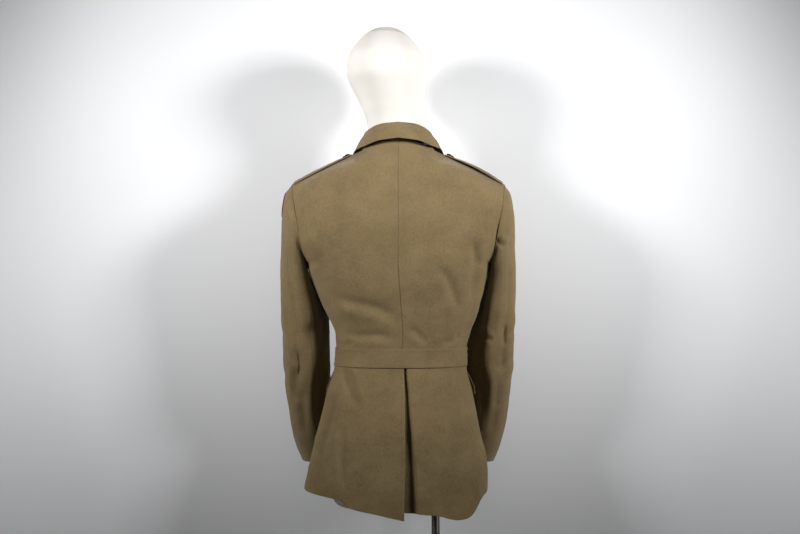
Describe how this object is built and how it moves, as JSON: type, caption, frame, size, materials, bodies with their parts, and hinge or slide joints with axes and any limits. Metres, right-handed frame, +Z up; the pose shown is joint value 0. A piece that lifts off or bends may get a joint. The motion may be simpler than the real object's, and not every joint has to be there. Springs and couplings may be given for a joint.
{
  "type": "military dress tunic on a headed dress form",
  "caption": "Olive wool service tunic with half belt, back vent, shoulder straps and brass buttons, worn by a limbless headed dress form on an offset pole and a round base.",
  "frame": {"origin": "on the floor under the middle of the round base", "axes": "+Z up; the tunic's front faces -Y and its left sleeve lies at +X"},
  "size_m": [0.4688, 0.36, 1.279],
  "materials": {
    "wool_serge": "olive drab wool serge, fine twill, softly worn, matt",
    "red_felt": "plain red felt patch",
    "brass_button": "plain domed brass, lightly tarnished",
    "form_cover": "tight pale linen cover over a hard shell",
    "stand_steel": "brushed steel, satin"
  },
  "bodies": {
    "root": {"back_left": "wool_serge", "back_right": "wool_serge", "back_belt": "wool_serge", "skirt_back_left": "wool_serge", "skirt_back_right": "wool_serge", "front_left": "wool_serge", "front_right": "wool_serge", "lapel_left": "wool_serge", "lapel_right": "wool_serge", "collar": "wool_serge", "sleeve_top_left": "wool_serge", "sleeve_top_right": "wool_serge", "sleeve_under_left": "wool_serge", "sleeve_under_right": "wool_serge", "shoulder_strap_left": "wool_serge", "shoulder_strap_right": "wool_serge", "hip_flap_left": "wool_serge", "hip_flap_right": "wool_serge", "front_button_1": "brass_button", "front_button_2": "brass_button", "front_button_3": "brass_button", "front_button_4": "brass_button", "strap_button_left": "brass_button", "strap_button_right": "brass_button", "hip_button_left": "brass_button", "hip_button_right": "brass_button", "sleeve_badge": "red_felt", "form_torso": "form_cover", "form_head": "form_cover", "pole": "stand_steel", "base": "stand_steel"}
  },
  "joints": []
}
